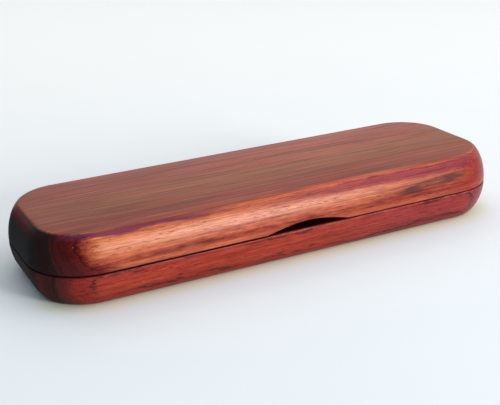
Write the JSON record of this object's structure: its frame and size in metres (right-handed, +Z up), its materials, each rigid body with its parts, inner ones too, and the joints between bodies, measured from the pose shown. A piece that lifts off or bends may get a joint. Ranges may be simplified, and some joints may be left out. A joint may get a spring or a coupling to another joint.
{
  "type": "lidded pen case",
  "caption": "Long rounded wooden case for dip pens, with a hinged lid, thumb notch, grooved flocked tray, padded lid lining and magnetic closure.",
  "frame": {"origin": "centre of the flat underside, on the surface the case stands on", "axes": "+X along the case towards the right end seen from the front, -Y towards the thumb notch, +Y towards the hinges, +Z up"},
  "size_m": [0.18, 0.0607, 0.0248],
  "materials": {
    "rosewood": "oiled and polished, satin gloss",
    "flocking": "short black flock",
    "velvet": "short-pile velvet over padding",
    "brass": "brushed, lightly lacquered",
    "steel": "drawn wire",
    "magnet": "nickel plated"
  },
  "bodies": {
    "base": {"base": "rosewood", "pen_tray": "flocking", "base_magnet_left": "magnet", "base_magnet_right": "magnet", "hinge_left_base_leaf": "brass", "hinge_left_pin": "steel", "hinge_left_base_screw_1": "brass", "hinge_left_base_screw_2": "brass", "hinge_right_base_leaf": "brass", "hinge_right_pin": "steel", "hinge_right_base_screw_1": "brass", "hinge_right_base_screw_2": "brass"},
    "lid": {"lid": "rosewood", "lid_pad": "velvet", "lid_magnet_left": "magnet", "lid_magnet_right": "magnet", "hinge_left_lid_leaf": "brass", "hinge_left_lid_screw_1": "brass", "hinge_left_lid_screw_2": "brass", "hinge_right_lid_leaf": "brass", "hinge_right_lid_screw_1": "brass", "hinge_right_lid_screw_2": "brass"}
  },
  "joints": [
    {"name": "lid_hinge", "type": "hinge", "parent": "base", "child": "lid", "pos_m": [0, 0.0299, 0.0119], "axis": [-1, 0, 0], "range_deg": [0, 165]}
  ]
}
